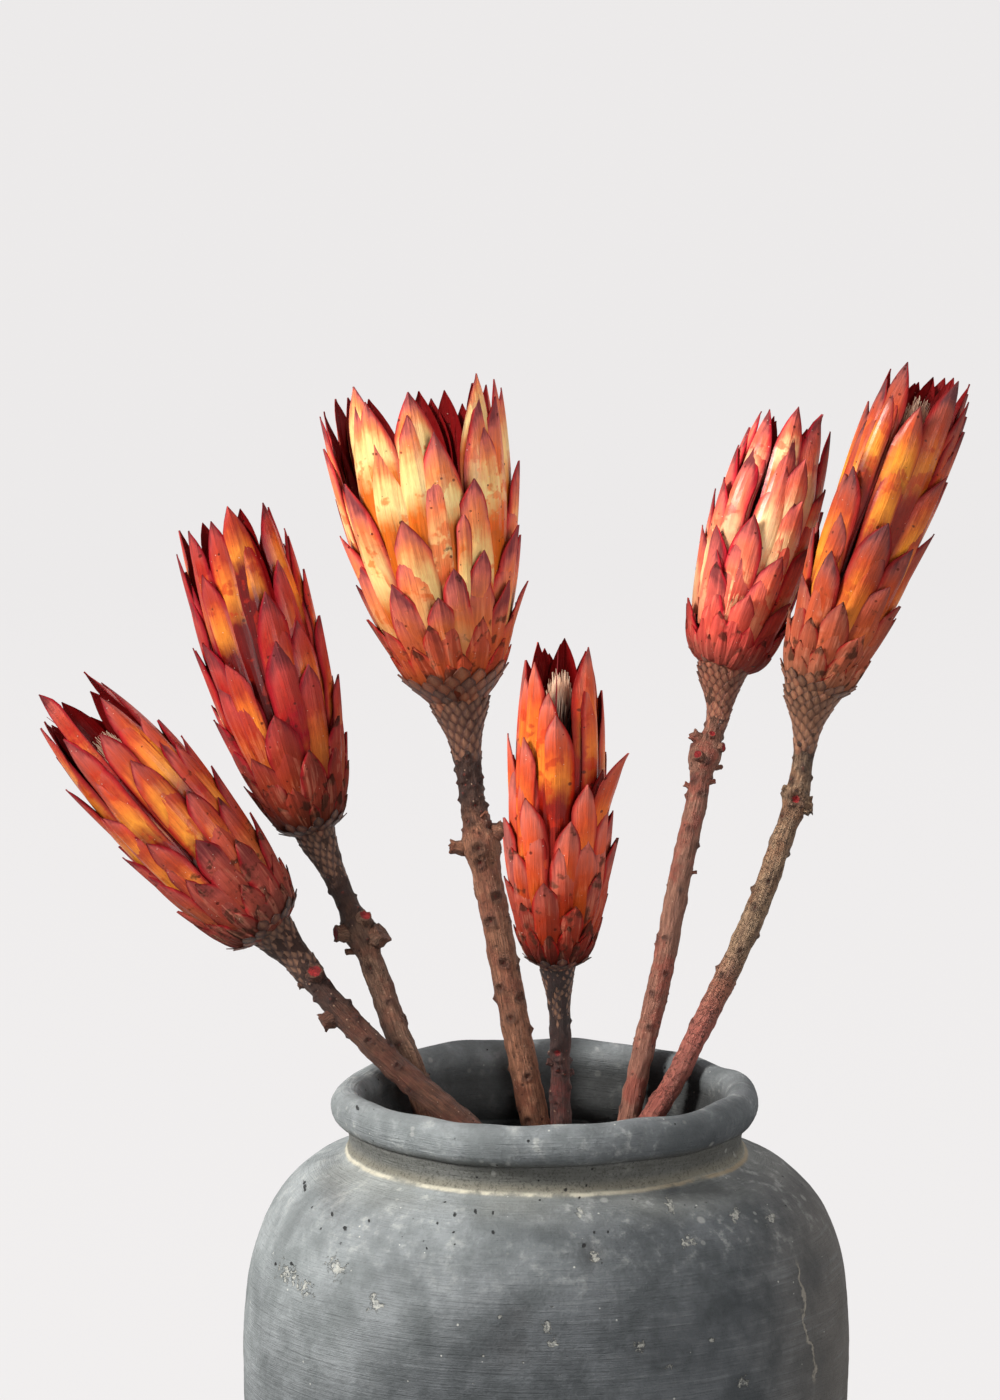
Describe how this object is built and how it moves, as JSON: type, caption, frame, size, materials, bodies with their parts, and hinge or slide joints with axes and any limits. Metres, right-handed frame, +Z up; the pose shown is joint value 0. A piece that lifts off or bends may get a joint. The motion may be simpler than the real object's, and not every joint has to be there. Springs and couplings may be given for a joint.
{
  "type": "protea flower",
  "caption": "Dried sugarbush protea heads with overlapping bracts on woody stems, standing in a rough round-shouldered clay jar.",
  "frame": {"origin": "centre of the jar's flat underside, on the table", "axes": "+Z up along the jar's axis, -Y the front of the arrangement, +X to its right seen from the front"},
  "size_m": [0.2814, 0.1851, 0.4124],
  "materials": {
    "clay": "unglazed dark blue-grey clay, brushed, pitted and dusty, with a pale line under the rim",
    "bark": "dry red-brown bark with dark leaf scars and a netted, scaly neck",
    "bract": "dried waxy bract, cream to orange with red edges and a mauve-brown tip",
    "floret": "dry woolly floret hairs, cream to brown"
  },
  "bodies": {
    "root": {"jar": "clay", "stem_1": "bark", "head_1": "bract", "florets_1": "floret", "stem_2": "bark", "head_2": "bract", "florets_2": "floret", "stem_3": "bark", "head_3": "bract", "florets_3": "floret", "stem_4": "bark", "head_4": "bract", "florets_4": "floret", "stem_5": "bark", "head_5": "bract", "florets_5": "floret", "stem_6": "bark", "head_6": "bract", "florets_6": "floret"}
  },
  "joints": []
}
